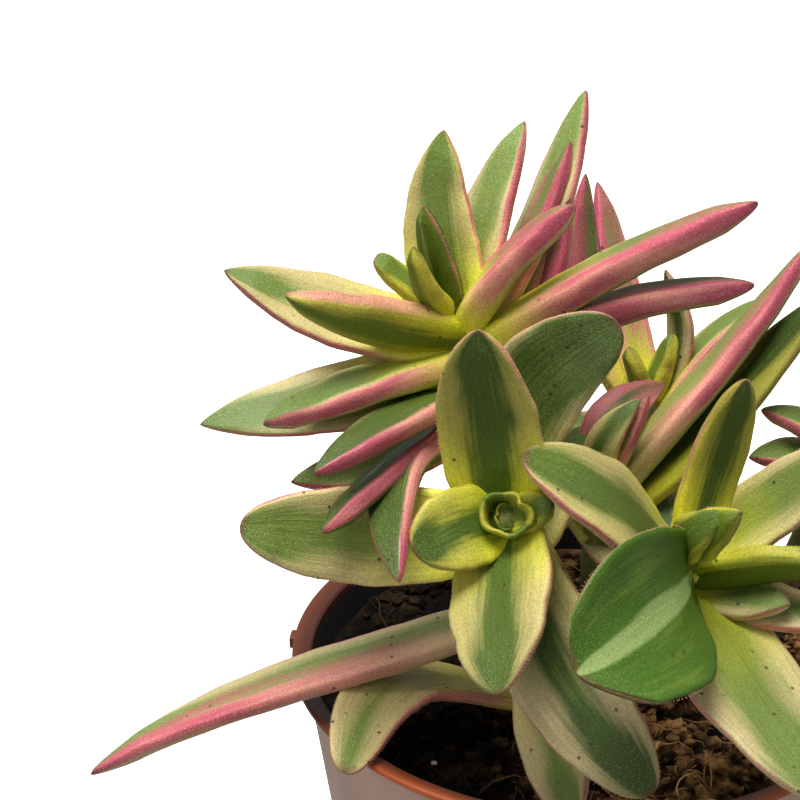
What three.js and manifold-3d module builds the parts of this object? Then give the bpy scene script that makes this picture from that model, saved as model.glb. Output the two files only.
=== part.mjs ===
// A potted variegated campfire crassula: a thin plastic nursery pot, its potting soil, and leafy stems whose
// thick opposite leaves cross at right angles up each stem. Millimetres, +Z up, origin at the centre of the
// pot's foot. The viewer of the photograph stands towards -Y.
import * as THREE from "three";
import { mergeVertices } from "three/addons/utils/BufferGeometryUtils.js";
import Module from "manifold-3d";

const wasm = await Module();
wasm.setup();
const { Manifold, Mesh } = wasm;

// Pot.
const POT_HEIGHT = 92;
const RIM_RADIUS = 52.5;
const FOOT_RADIUS = 36;
const WALL = 1.4;
const LIP_WIDTH = 3.4;
const LIP_HEIGHT = 3;
const LIP_EDGE = 1; // height of the lip's outer edge
const LIP_ROUND = 0.3;
const LIP_STEP = 2.5; // how far the lip stands out past the wall
const FLOOR = 2;
const FOOT_ROUND = 2;
const POT_SIDES = 30;
const DRAIN_HOLES = 8;
const DRAIN_RADIUS = 3.5;
const DRAIN_CIRCLE = 28;
const DRAIN_SIDES = 8;
const NUB_SIZE = [1.6, 3, 2.4]; // the moulding nub on the lip: outwards, round the lip, and height
const NUB_TURN = 174;

// Soil.
const CLEAR = 0.3; // the gap between pieces that touch
const SOIL_LEVEL = 85;
const SOIL_LUMP = 1.1; // height of the crumbs and hollows in the soil's top
const SOIL_RINGS = 5;
const SOIL_SIDES = 28;

// Stems.
const STEM_FOOT_RADIUS = 3.0;
const STEM_TIP_RADIUS = 1.9;
const STEM_SIDES = 8;
const STEM_STEPS = 5;
const STEM_DEPTH = 22; // how far each stem goes down into the soil
const STEM_HOLE = STEM_FOOT_RADIUS + 0.6;

// Leaves.
const LEAF_STATIONS = 7;
const LEAF_AROUND = 8;
const PLAIN_STATIONS = 5; // for a leaf that is one body with its stem
const PLAIN_AROUND = 6;
const THICKNESS = 3.8;
const UPPER_SHARE = 0.4; // share of the thickness that lies above the leaf's middle surface
const BLUNTNESS = 0.62; // power that squares the margins, 1 would be an ellipse
const WIDEST_AT = 0.4; // share of a leaf's length where it is widest
const BASE_SHARE = 0.6; // width of the clasping base, as a share of the greatest width
const TIP_POWER = 0.85; // lower is a rounder tip
const TIP_THINNING = 0.35;
const CHANNEL = 0.1; // how far the margins rise above the middle, as a share of the half-width
const TIP_START = 0.88; // share of the length where the thickness starts to close to the tip
const LEAF_GAP = 0.45; // the gap between leaves that would touch
const SOIL_GAP = 0.6; // the gap between the soil and a leaf that lies on it
const SMOOTHING = 0.25; // facets of a cut leaf that differ by less than this are joined

const COLOURS = { leaf: 0x93a05a, stem: 0x8a8f4a, pot: 0x9a5232, soil: 0x34231a };

// A leaf grows from its stem `down` mm below the growing point, turned about the stem (0 is towards +X and 90
// away from the viewer), spread from the stem's direction, all in degrees. Its bends may say more: `arch` lifts
// its middle towards its upper face and `sway` moves it sideways, in mm, most at the share `peak` of its length.
// `roll` turns its face about its length and `twist` turns it on towards the tip, in degrees. `thick` is its
// thickness in mm, and `neck`, `wide`, `tip` and `channel` take the place of BASE_SHARE, WIDEST_AT, TIP_POWER
// and CHANNEL.
function leaf(name, down, turn, spread, length, width, bends = {}) {
  return { name, down, turn, spread, length, width, ...bends };
}

const STEMS = [
  {
    name: "stem_left",
    foot: [-2, -2],
    bend: [-14, -8, 135],
    apex: [-25, -15, 165],
    leaves: [
      leaf("a8", 4, -4, 54, 30, 8, { arch: 1.5, roll: -11, twist: 5, thick: 6 }),
      leaf("a3", 4, 60, 26, 32, 13.5, { sway: -2, roll: 5, wide: 0.3 }),
      leaf("a2", 5, -159, 47, 32, 10, { arch: -2, roll: 69, twist: -6, thick: 4.4 }),
      leaf("a1", 8, 174, 54, 41, 13.5, { arch: -2, roll: -11, twist: -7 }),
      leaf("a4", 8, 47, 46, 37, 11, { arch: 2, sway: -1, roll: -3 }),
      leaf("a9", 10, 29, 48, 38, 7, { arch: -1, roll: -6, thick: 4 }),
      leaf("a12", 15, 25, 47, 33, 6, { arch: -3, sway: 1, roll: 2 }),
      leaf("a5", 13, 46, 55, 49, 10, { arch: -1, sway: 1, roll: -4, twist: 2 }),
      leaf("a10", 9, -11, 69, 56, 8.5, { arch: 1.5, roll: -14, twist: 6, thick: 6 }),
      leaf("a11", 14, -16, 75, 51, 8.5, { arch: 3.5, roll: -19, thick: 6 }),
      leaf("a16", 10, -145, 71, 39, 10, { arch: 0.5, sway: 1, roll: 16, twist: -21, thick: 5.6 }),
      leaf("a15", 13, -164, 75, 46, 12.5, { arch: 1, sway: -1, roll: -27 }),
      leaf("a17", 17, -128, 70, 41, 10, { arch: 2, sway: -1, roll: 11, twist: -12, thick: 5 }),
      leaf("a19", 25, -109, 81, 46, 10.5, { arch: 8, sway: 3, roll: 30, twist: -6, thick: 4.6 }),
      leaf("a18", 21, -127, 78, 43, 10.5, { arch: 1.5, roll: 36, twist: -16, thick: 5 }),
      leaf("a20", 20, -149, 78, 37, 10, { arch: -3, sway: -1, roll: -19, twist: -7 }),
    ],
    fused: [
      leaf("a13", 12, 100, 76, 34, 11, { arch: 2 }),
      leaf("a14", 18, 75, 84, 38, 11, { arch: 4 }),
      leaf("a21", 25, 115, 92, 33, 10, { arch: 5 }),
      leaf("a6", 1, 15, 6, 21, 6.2, { sway: 0.6, roll: -144 }),
      leaf("a6b", 1, -109, 12, 17, 4.5, { arch: -1.8, roll: -25 }),
      leaf("a7", 3, 157, 36, 17, 4.5, { arch: -0.5, roll: -12, tip: 0.3, wide: 0.6 }),
    ],
  },
  {
    name: "stem_right",
    foot: [16, 2],
    bend: [7, -15, 110],
    apex: [14, -32, 131],
    leaves: [
      leaf("c1", 8, -130, 55, 47, 25, { arch: 5.5, sway: 2.5, roll: -52, twist: 43, tip: 0.5, channel: 0.3, wide: 0.62, neck: 0.05 }),
      leaf("c3", 12, -8, 52, 30, 9, { roll: -92, thick: 5 }),
      leaf("c2", 6, 83, 35, 34, 10, { arch: -3, sway: 1.5, roll: 17, tip: 0.6 }),
      leaf("c7", 9, 29, 41, 37, 12, { arch: -5, sway: -1.5, roll: -13 }),
      leaf("c4", 12, 173, 43, 46, 17.5, { arch: 5.4, sway: -2.7, roll: 10, twist: 5, tip: 0.5, wide: 0.55, peak: 0.6 }),
      leaf("c9", 15, -27, 57, 22, 9, { arch: -1, roll: 2 }),
      leaf("c10", 18, -22, 66, 33, 10, { roll: -14 }),
      leaf("c8", 13, -66, 71, 50, 23, { sway: 1.5, roll: -22, twist: 2, tip: 0.6 }),
    ],
    fused: [
      leaf("c11", 19, 90, 112, 28, 10, { arch: 4 }),
      leaf("c12", 26, 125, 104, 26, 10, { arch: 4 }),
      leaf("c5", 1, 183, 1, 16, 7, { arch: 4, roll: -162 }),
      leaf("c6", 1, -32, 4, 18, 7.5, { arch: -2, roll: -128 }),
    ],
  },
  {
    name: "stem_front",
    foot: [-4, -8],
    bend: [-16, -18, 124],
    apex: [-17, -42, 142],
    leaves: [
      leaf("b1", 5, 98, 41, 36, 16.5, { arch: -2, sway: -1, roll: -16, tip: 0.7, wide: 0.35 }),
      leaf("b3", 6, -92, 65, 32, 17.5, { roll: 29, tip: 0.7 }),
      leaf("b2", 4, -156, 64, 17, 13, { arch: 0.5, sway: 1, roll: -8, tip: 0.5 }),
      leaf("b6", 11, -177, 70, 43, 16, { arch: -5, sway: -2, roll: -28, tip: 0.5 }),
      leaf("b8", 10, 53, 50, 40, 16.5, { arch: -0.5, sway: -6.9, roll: 7, twist: 5, tip: 0.45, wide: 0.4 }),
      leaf("b7", 12, -63, 91, 47, 17, { arch: 4, sway: 2, roll: 23, twist: -6, tip: 0.5 }),
      leaf("b11", 40, -168, 97, 82, 11.5, { arch: 3.5, sway: -0.5, roll: 22, twist: 5, peak: 0.65, thick: 4.8 }),
      leaf("b12", 68, -138, 60, 50, 13, { arch: 8.5, sway: 8, roll: 12, twist: -24, peak: 0.6, tip: 0.45, wide: 0.6 }),
      leaf("b10", 44, -81, 83, 42, 12, { arch: -6, sway: 4, roll: 18, tip: 0.6 }),
    ],
    fused: [
      leaf("b13", 17, 92, 92, 32, 12, { arch: 3 }),
      leaf("b14", 26, 65, 98, 30, 12, { arch: 4 }),
      leaf("b4", 1.5, -120, 22, 6.5, 8, { channel: 0.7, tip: 0.5, thick: 1.6 }),
      leaf("b9", 1.5, 60, 22, 6.5, 8, { channel: 0.7, tip: 0.5, thick: 1.6 }),
      leaf("b5", 3, 10, 50, 9.5, 6.5, { tip: 0.6 }),
    ],
  },
  {
    name: "stem_back",
    foot: [10, 10],
    bend: [11, 13, 110],
    apex: [10, 12, 137],
    leaves: [
      leaf("d1", 6, 133, 20, 45, 8, { arch: -4, sway: -3, roll: -8 }),
      leaf("d3", 6, 110, 32, 43, 8.5, { roll: 19, twist: 2 }),
      leaf("d2", 8, 121, 34, 44, 7, { arch: -3, sway: -1.5, roll: 7 }),
      leaf("d4", 5, 48, 8, 27, 5, { arch: -3, sway: 3, roll: 10 }),
      leaf("d5", 8, 16, 45, 32, 8.5, { arch: 3, roll: -10 }),
    ],
    fused: [
      leaf("d8", 13, 70, 62, 27, 8, { arch: 2 }),
      leaf("d9", 16, 160, 74, 26, 8, { arch: 3 }),
      leaf("d6", 2, 20, 20, 13, 5),
      leaf("d7", 2, -160, 20, 12, 5),
    ],
  },
  {
    name: "stem_middle",
    foot: [4, -2],
    bend: [-2, -4, 108],
    apex: [1, -10, 132],
    leaves: [
      leaf("f1", 6, 38, 47, 56, 8, { arch: -1, roll: -30, twist: -4, peak: 0.65, thick: 5 }),
      leaf("f2", 8, 58, 55, 25, 9, { arch: 7, sway: -3, twist: 10 }),
      leaf("f3", 12, 27, 48, 57, 11.5, { arch: -1.5, roll: -6, twist: 3 }),
    ],
    fused: [
      leaf("f6", 14, 120, 70, 26, 9, { arch: 2 }),
      leaf("f4", 3, 46, 27, 18, 4, { arch: 1 }),
      leaf("f5", 4, 51, 23, 18, 6, { arch: 4, sway: -1.5 }),
    ],
  },
  {
    name: "stem_far_right",
    foot: [30, 8],
    bend: [38, 6, 110],
    apex: [43, 0, 135],
    leaves: [
      leaf("g1", 8, 181, 59, 19, 7, { arch: 3, roll: -7 }),
      leaf("g2", 12, -163, 69, 19, 8, { arch: 3.5, roll: -5 }),
      leaf("g3", 6, -10, 50, 36, 11),
      leaf("g4", 12, 60, 65, 40, 11, { arch: 3 }),
      leaf("g5", 14, -60, 72, 38, 12, { arch: 4 }),
    ],
    fused: [
      leaf("g6", 2, 80, 18, 14, 7),
      leaf("g7", 2, -100, 18, 13, 7),
    ],
  },
  {
    name: "stem_rear",
    foot: [-14, 20],
    bend: [-18, 26, 105],
    apex: [-11, 30, 121],
    leaves: [
      leaf("h1", 5, 80, 50, 30, 12),
      leaf("h2", 9, 165, 62, 26, 11, { arch: 3 }),
      leaf("h3", 9, 10, 55, 30, 12, { arch: 2 }),
      leaf("h4", 15, 95, 88, 36, 12, { arch: 5 }),
    ],
    fused: [
      leaf("h7", 15, -80, 86, 24, 10, { arch: 4 }),
      leaf("h5", 2, 100, 18, 14, 7),
      leaf("h6", 2, -80, 18, 13, 7),
    ],
  },
];

const vector = (p) => new THREE.Vector3(...p);
const radians = THREE.MathUtils.degToRad;

// Turns rings of points, each the same number long, and an optional tip into one closed solid.
function loft(rings, tip) {
  const points = rings.flat();
  const around = rings[0].length;
  const faces = [];
  const first = points.push(centreOf(rings[0])) - 1;
  const last = points.push(tip || centreOf(rings[rings.length - 1])) - 1;
  const top = (rings.length - 1) * around;
  for (let j = 0; j < around; j++) {
    const k = (j + 1) % around;
    for (let i = 0; i < rings.length - 1; i++) {
      const a = i * around;
      const b = a + around;
      faces.push(a + j, a + k, b + k, a + j, b + k, b + j);
    }
    faces.push(first, k, j);
    faces.push(last, top + j, top + k);
  }
  return new Manifold(
    new Mesh({
      numProp: 3,
      vertProperties: new Float32Array(points.flatMap((p) => [p.x, p.y, p.z])),
      triVerts: new Uint32Array(faces),
    }),
  );
}

function centreOf(ring) {
  const sum = ring.reduce((s, p) => s.add(p), new THREE.Vector3());
  return sum.divideScalar(ring.length);
}

// The stem's centre line from its foot in the soil to its growing point.
function stemCurve(stem) {
  const foot = new THREE.Vector3(...stem.foot, SOIL_LEVEL);
  return new THREE.QuadraticBezierCurve3(foot, vector(stem.bend), vector(stem.apex));
}

// The stem's point and direction a given length below its growing point.
function stemAt(curve, down) {
  const share = Math.max(1 - down / curve.getLength(), 0);
  return { point: curve.getPointAt(share), axis: curve.getTangentAt(share).normalize() };
}

// Two directions square to an axis, the first as near +X as it can be.
function squareTo(axis) {
  const ref = new THREE.Vector3(1, 0, 0).addScaledVector(axis, -axis.x).normalize();
  return [ref, new THREE.Vector3().crossVectors(axis, ref)];
}

// A leaf's half-width at a share of its length.
function widthAt(t, wide, tip, neck) {
  if (t < wide) return neck + (1 - neck) * Math.sin((Math.PI / 2) * (t / wide));
  return (1 - ((t - wide) / (1 - wide)) ** 2.2) ** tip;
}

// Where a leaf runs: its upper face's direction and its bowed middle line, from the stem's middle to the tip.
function leafPath(curve, row) {
  const { arch = 0, sway = 0, roll = 0, peak = 0.5 } = row;
  const { point, axis } = stemAt(curve, row.down);
  const [ref, side] = squareTo(axis);
  const radial = ref.multiplyScalar(Math.cos(radians(row.turn)));
  radial.addScaledVector(side, Math.sin(radians(row.turn)));
  const spread = radians(row.spread);
  const forward = axis.clone().multiplyScalar(Math.cos(spread)).addScaledVector(radial, Math.sin(spread));
  const face = axis.clone().multiplyScalar(Math.sin(spread)).addScaledVector(radial, -Math.cos(spread));
  face.applyAxisAngle(forward, radians(roll));
  const across = new THREE.Vector3().crossVectors(forward, face);
  const bow = face.clone().multiplyScalar(arch).addScaledVector(across, sway);
  const skew = Math.log(0.5) / Math.log(peak);
  const bend = (t) => Math.sin(Math.PI * Math.max(t, 0) ** skew);
  const centre = (t) =>
    point.clone().addScaledVector(forward, row.length * t).addScaledVector(bow, bend(t));
  return { face, centre };
}

// A leaf's closed solid, made `grow` mm larger all round where it stands for a cut. A plain one has fewer rings.
function leafSolid(curve, row, grow, plain = false) {
  const stations = plain ? PLAIN_STATIONS : LEAF_STATIONS;
  const sides = plain ? PLAIN_AROUND : LEAF_AROUND;
  const { twist = 0, thick = THICKNESS, tip = TIP_POWER, channel = CHANNEL } = row;
  const { wide = WIDEST_AT, neck = BASE_SHARE } = row;
  const { face, centre } = leafPath(curve, row);
  const rings = [];
  for (let i = 0; i < stations; i++) {
    const t = (i / stations) ** 0.9;
    const ahead = centre(t + 0.01).sub(centre(t - 0.01)).normalize();
    const up = face.clone().addScaledVector(ahead, -face.dot(ahead)).normalize();
    up.applyAxisAngle(ahead, radians(twist * t));
    const out = new THREE.Vector3().crossVectors(ahead, up);
    const half = (row.width / 2) * widthAt(t, wide, tip, neck) + grow;
    const closing = Math.min(1, Math.sqrt((1 - t) / (1 - TIP_START)));
    const depth = thick * (1 - TIP_THINNING * t) * closing;
    rings.push(
      Array.from({ length: sides }, (_, j) => {
        const angle = (-2 * Math.PI * j) / sides;
        const s = Math.sign(Math.cos(angle)) * Math.abs(Math.cos(angle)) ** BLUNTNESS;
        const z = Math.sign(Math.sin(angle)) * Math.abs(Math.sin(angle)) ** BLUNTNESS;
        const share = z > 0 ? UPPER_SHARE : 1 - UPPER_SHARE;
        const height = z * (depth * share + grow) + channel * half * s * s;
        return centre(t).addScaledVector(out, half * s).addScaledVector(up, height);
      }),
    );
  }
  const ahead = centre(1).sub(centre(0.98)).normalize();
  return loft(rings, centre(1).addScaledVector(ahead, grow));
}

function stemSolid(curve, grow) {
  const ring = (point, axis, radius) => {
    const [ref, side] = squareTo(axis);
    return Array.from({ length: STEM_SIDES }, (_, j) => {
      const angle = (2 * Math.PI * j) / STEM_SIDES;
      return point.clone().addScaledVector(ref, radius * Math.cos(angle))
        .addScaledVector(side, radius * Math.sin(angle));
    });
  };
  const up = new THREE.Vector3(0, 0, 1);
  const foot = curve.getPointAt(0);
  const rings = [];
  rings.push(ring(foot.clone().addScaledVector(up, -STEM_DEPTH), up, STEM_FOOT_RADIUS + grow));
  rings.push(ring(foot.clone().addScaledVector(up, -CLEAR), up, STEM_FOOT_RADIUS + grow));
  for (let i = 1; i <= STEM_STEPS; i++) {
    const share = i / STEM_STEPS;
    const radius = THREE.MathUtils.lerp(STEM_FOOT_RADIUS, STEM_TIP_RADIUS, share) + grow;
    rings.push(ring(curve.getPointAt(share), curve.getTangentAt(share).normalize(), radius));
  }
  return loft(rings);
}

// The height of the soil's top at a point: level, with crumbs and hollows.
function soilTop(x, y) {
  const crumbs = Math.sin(x * 0.41 + 1.3 * Math.sin(y * 0.23)) * Math.cos(y * 0.37 - 0.8);
  const hollows = Math.sin(x * 0.13 - y * 0.17 + 2);
  return SOIL_LEVEL + SOIL_LUMP * (0.6 * crumbs + 0.4 * hollows);
}

function potRadius(z) {
  return THREE.MathUtils.lerp(FOOT_RADIUS, RIM_RADIUS - LIP_STEP, z / (POT_HEIGHT - LIP_HEIGHT));
}

function soilSolid() {
  const inner = (z) => potRadius(z) - WALL - CLEAR;
  const rings = [];
  const ring = (radius, height) =>
    Array.from({ length: SOIL_SIDES }, (_, j) => {
      const angle = (2 * Math.PI * j) / SOIL_SIDES;
      const x = radius * Math.cos(angle);
      const y = radius * Math.sin(angle);
      return new THREE.Vector3(x, y, height ?? soilTop(x, y));
    });
  rings.push(ring(inner(FLOOR) - FOOT_ROUND, FLOOR + CLEAR));
  for (let i = SOIL_RINGS; i > 0; i--) {
    rings.push(ring((inner(SOIL_LEVEL - SOIL_LUMP) * i) / SOIL_RINGS));
  }
  return loft(rings);
}

function potSolid() {
  const under = POT_HEIGHT - LIP_HEIGHT;
  const outline = [
    [0, 0],
    [FOOT_RADIUS - FOOT_ROUND, 0],
    [potRadius(FOOT_ROUND), FOOT_ROUND],
    [potRadius(under), under],
    [RIM_RADIUS, POT_HEIGHT - LIP_EDGE],
    [RIM_RADIUS, POT_HEIGHT - LIP_ROUND],
    [RIM_RADIUS - LIP_ROUND, POT_HEIGHT],
    [RIM_RADIUS - LIP_WIDTH, POT_HEIGHT],
    [RIM_RADIUS - LIP_WIDTH, POT_HEIGHT - WALL],
    [potRadius(under) - WALL, under - WALL],
    [potRadius(FLOOR + FOOT_ROUND) - WALL, FLOOR + FOOT_ROUND],
    [FOOT_RADIUS - FOOT_ROUND - WALL, FLOOR],
    [0, FLOOR],
  ];
  const body = Manifold.revolve([outline], POT_SIDES);
  const holes = Array.from({ length: DRAIN_HOLES }, (_, i) =>
    Manifold.cylinder(FLOOR * 3, DRAIN_RADIUS, DRAIN_RADIUS, DRAIN_SIDES, true)
      .translate([DRAIN_CIRCLE, 0, FLOOR])
      .rotate([0, 0, (360 * i) / DRAIN_HOLES]),
  );
  const nub = Manifold.cube(NUB_SIZE, true)
    .translate([RIM_RADIUS, 0, POT_HEIGHT - LIP_HEIGHT / 2])
    .rotate([0, 0, NUB_TURN]);
  return body.subtract(Manifold.union(holes)).add(nub);
}

const root = new THREE.Group();
root.name = "potted_crassula";

// How near a body comes to a point.
function distanceTo(body, point) {
  const { numProp, numVert, vertProperties } = body.getMesh();
  const away = (i) => point.distanceTo(new THREE.Vector3().fromArray(vertProperties, i * numProp));
  return Math.min(...Array.from({ length: numVert }, (_, i) => away(i)));
}

// Puts a solid into the group as one named mesh. Of a leaf that was cut, only the body with its tip stays.
function place(name, solid, colour, roughness, tip) {
  const bodies = solid.decompose();
  const reach = bodies.map((b) => (tip ? distanceTo(b, tip) : -b.volume()));
  const body = bodies[reach.indexOf(Math.min(...reach))];
  const made = body.getMesh();
  const geometry = new THREE.BufferGeometry();
  const positions = new Float32Array(made.numVert * 3);
  for (let i = 0; i < made.numVert; i++) {
    positions.set(made.vertProperties.subarray(i * made.numProp, i * made.numProp + 3), i * 3);
  }
  geometry.setAttribute("position", new THREE.BufferAttribute(positions, 3));
  geometry.setIndex(new THREE.BufferAttribute(made.triVerts, 1));
  const merged = mergeVertices(geometry, 1e-4);
  merged.computeVertexNormals();
  const material = new THREE.MeshStandardMaterial({ color: colour, roughness, metalness: 0 });
  const mesh = new THREE.Mesh(merged, material);
  mesh.name = name;
  root.add(mesh);
}

const curves = STEMS.map(stemCurve);
const stems = curves.map((curve) => stemSolid(curve, 0));
place("pot", potSolid(), COLOURS.pot, 0.45);
const holes = curves.map((curve) => {
  const foot = curve.getPointAt(0);
  return Manifold.cylinder(STEM_DEPTH * 2, STEM_HOLE, STEM_HOLE, STEM_SIDES).translate([
    foot.x,
    foot.y,
    SOIL_LEVEL - STEM_DEPTH - CLEAR,
  ]);
});
const soil = soilSolid();
place("soil", soil.subtract(Manifold.union(holes)), COLOURS.soil, 0.95);

// Whether the boxes around two solids overlap.
function meets(a, b) {
  const [p, q] = [a.boundingBox(), b.boundingBox()];
  return [0, 1, 2].every((k) => p.min[k] < q.max[k] && q.min[k] < p.max[k]);
}

// A solid cut clear of those in a list that it meets.
function clearOf(solid, list) {
  const near = list.filter((other) => meets(solid, other));
  return near.length ? solid.subtract(Manifold.union(near)) : solid;
}

// The hidden leaves at a stem's back and the smallest ones at its growing point are one body with the stem. They
// are cut clear of the soil and of the other stems.
const swollen = curves.map((curve) => stemSolid(curve, LEAF_GAP));
const taken = [soil.translate([0, 0, SOIL_GAP])];
STEMS.forEach((stem, i) => {
  const others = [...taken, ...swollen.filter((_, n) => n !== i)];
  const fused = stem.fused.map((row) => clearOf(leafSolid(curves[i], row, 0, true), others));
  place(stem.name, Manifold.union([stems[i], ...fused]).simplify(SMOOTHING), COLOURS.stem, 0.6);
  taken.push(...stem.fused.map((row) => leafSolid(curves[i], row, LEAF_GAP, true)));
});
taken.push(...swollen);

// Each large leaf is cut clear of the soil, the stems and the leaves already in place.
STEMS.forEach((stem, i) => {
  for (const row of stem.leaves) {
    const left = clearOf(leafSolid(curves[i], row, 0), taken).simplify(SMOOTHING);
    place("leaf_" + row.name, left, COLOURS.leaf, 0.5, leafPath(curves[i], row).centre(1));
    taken.push(leafSolid(curves[i], row, LEAF_GAP));
  }
});

export default root;
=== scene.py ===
# %% [markdown]
# # A potted variegated campfire crassula
# This lesson dresses a measured model. The frame holds the plain solids of a pot, its soil, seven stems and
# fifty thick leaves, all in their true places. Each is replaced here by a finer piece that stands in the
# same place: banded leaves with rosy margins and tiny hairs, loose soil and a thin plastic pot. The object
# is in metres, with its foot at the origin, and the photographer stood towards -Y.

import math

import bpy
import numpy as np
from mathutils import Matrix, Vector, noise


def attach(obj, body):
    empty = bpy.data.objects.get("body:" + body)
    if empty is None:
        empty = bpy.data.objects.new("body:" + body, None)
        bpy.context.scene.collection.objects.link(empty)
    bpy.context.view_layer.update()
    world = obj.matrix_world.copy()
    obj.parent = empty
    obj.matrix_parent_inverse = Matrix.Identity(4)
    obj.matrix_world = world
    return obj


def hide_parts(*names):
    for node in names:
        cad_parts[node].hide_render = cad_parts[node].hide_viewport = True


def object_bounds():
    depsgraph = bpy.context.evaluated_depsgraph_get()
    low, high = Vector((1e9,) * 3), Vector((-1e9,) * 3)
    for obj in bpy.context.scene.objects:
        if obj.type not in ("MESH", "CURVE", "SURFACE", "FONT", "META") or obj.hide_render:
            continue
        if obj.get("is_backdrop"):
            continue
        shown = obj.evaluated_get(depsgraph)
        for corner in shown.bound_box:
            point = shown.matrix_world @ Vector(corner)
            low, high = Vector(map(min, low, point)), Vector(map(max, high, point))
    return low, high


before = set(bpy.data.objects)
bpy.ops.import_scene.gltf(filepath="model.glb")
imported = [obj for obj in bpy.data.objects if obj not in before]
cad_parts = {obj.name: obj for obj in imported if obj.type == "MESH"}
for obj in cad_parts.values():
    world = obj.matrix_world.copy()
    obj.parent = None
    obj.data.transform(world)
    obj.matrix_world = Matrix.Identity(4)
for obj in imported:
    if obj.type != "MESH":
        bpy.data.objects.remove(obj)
cad_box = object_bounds()
MM = 0.001
print("solids in the frame:", len(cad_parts))

# %% [markdown]
# ## Camera
# The camera comes first. A long lens from close by gives the photograph's gentle perspective, and the
# camera looks down by about 26 degrees.

# %% Place the camera
CAMERA_PLACE = (-0.0333, -0.3837, 0.3316)
CAMERA_DOWN = 26.4
CAMERA_LENS = 114.3
SENSOR_WIDTH = 36

bpy.ops.object.camera_add(location=CAMERA_PLACE, rotation=(math.radians(90 - CAMERA_DOWN), 0, 0))
camera = bpy.context.object
camera.data.sensor_width = SENSOR_WIDTH
camera.data.lens = CAMERA_LENS
bpy.context.scene.camera = camera
print("camera height in mm:", round(camera.location.z / MM))

# %% [markdown]
# ## A few helpers for materials
# Each material is a small network of nodes. These helpers add a node with its values, do a sum, make a soft
# step from 0 to 1, mix two colours and turn a height into relief, so that the recipes below stay readable.

# %% Node helpers


def put(tree, socket, value):
    if isinstance(value, bpy.types.NodeSocket):
        tree.links.new(value, socket)
    else:
        socket.default_value = value


def add(tree, kind, feeds, **settings):
    made = tree.nodes.new("ShaderNode" + kind)
    for name, value in settings.items():
        setattr(made, name, value)
    for name, value in feeds.items():
        put(tree, made.inputs[name], value)
    return made


def calc(tree, operation, a, b=0.0):
    return add(tree, "Math", {0: a, 1: b}, operation=operation).outputs[0]


def fade(tree, value, low, high):
    """A soft step from 0 at low to 1 at high. It falls where low is the greater of the two."""
    feeds = {"Value": value, "From Min": low, "From Max": high}
    return add(tree, "MapRange", feeds, interpolation_type="SMOOTHSTEP").outputs[0]


def mixed(tree, share, first, second):
    return add(tree, "Mix", {0: share, 6: first, 7: second}, data_type="RGBA").outputs[2]


def parts_of(tree, vector):
    return add(tree, "SeparateXYZ", {0: vector}).outputs


def carried_by(tree, name):
    """A number or three that each point of the mesh carries under this name."""
    return add(tree, "Attribute", {}, attribute_name=name).outputs


def relief(tree, coat, height, strength, depth):
    bump = add(tree, "Bump", {"Height": height, "Strength": strength, "Distance": depth})
    put(tree, coat.inputs["Normal"], bump.outputs[0])


def shade(red, green, blue):
    """A colour as a painter reads it, 0 to 255, made linear for the shader."""
    parts = [c / 255 for c in (red, green, blue)]
    return (*[p / 12.92 if p < 0.04 else ((p + 0.055) / 1.055) ** 2.4 for p in parts], 1)


def new_group(name, inputs, outputs):
    group = bpy.data.node_groups.new(name, "ShaderNodeTree")
    for label, kind in inputs.items():
        group.interface.new_socket(label, in_out="INPUT", socket_type="NodeSocket" + kind)
    for label, kind in outputs.items():
        group.interface.new_socket(label, in_out="OUTPUT", socket_type="NodeSocket" + kind)
    return group, group.nodes.new("NodeGroupInput").outputs, group.nodes.new("NodeGroupOutput").inputs


def new_material(name, **constants):
    material = bpy.data.materials.new(name)
    material.use_nodes = True
    coat = material.node_tree.nodes["Principled BSDF"]
    for label, value in constants.items():
        coat.inputs[label.replace("_", " ")].default_value = value
    return material, material.node_tree, coat


# %% [markdown]
# ## Floor and light
# The photograph has a white ground and a soft studio light from above. The main lamp is small enough to
# leave real shadows in the gaps between the leaves, and the sky only just fills them. The floor glows white
# for the camera but doesn't light the leaves and isn't mirrored in them, which would make their undersides
# flat and pale. The plain Standard view keeps the colours as they are set.

# %% Lay the floor
FLOOR_SIZE = 5.0
FLOOR_GLOW = 0.8
FLOOR_WHITE = (0.86, 0.86, 0.86, 1)
PURE_WHITE = (1, 1, 1, 1)

bpy.context.scene.view_settings.view_transform = "Standard"
bpy.ops.mesh.primitive_plane_add(size=FLOOR_SIZE)
floor = bpy.context.object
floor.name = "floor"
floor.visible_diffuse = False
floor.visible_glossy = False
floor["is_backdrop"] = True
floor_paint, tree, coat = new_material(
    "floor_paint",
    Base_Color=FLOOR_WHITE,
    Roughness=0.9,
    Emission_Color=PURE_WHITE,
    Emission_Strength=FLOOR_GLOW,
)
floor.data.materials.append(floor_paint)
print("floor in metres:", FLOOR_SIZE)

# %% Set the lamps
SKY_STRENGTH = 0.35
LAMPS_AIM_AT = Vector((0, 0, 0.12))


def soft_lamp(name, place, size, watts):
    bpy.ops.object.light_add(type="AREA", location=place)
    lamp = bpy.context.object
    lamp.name = name
    lamp.data.size = size
    lamp.data.energy = watts
    lamp.rotation_euler = (LAMPS_AIM_AT - Vector(place)).to_track_quat("-Z", "Y").to_euler()


soft_lamp("lamp_above", (-0.12, -0.08, 1.0), 0.5, 14.0)
soft_lamp("lamp_left", (-0.8, -0.7, 0.6), 0.6, 2)
sky = bpy.data.worlds.new("sky")
sky.use_nodes = True
glow = sky.node_tree.nodes["Background"].inputs
glow["Color"].default_value = PURE_WHITE
glow["Strength"].default_value = SKY_STRENGTH
bpy.context.scene.world = sky
print("lamps:", len(bpy.data.lights))

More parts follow.
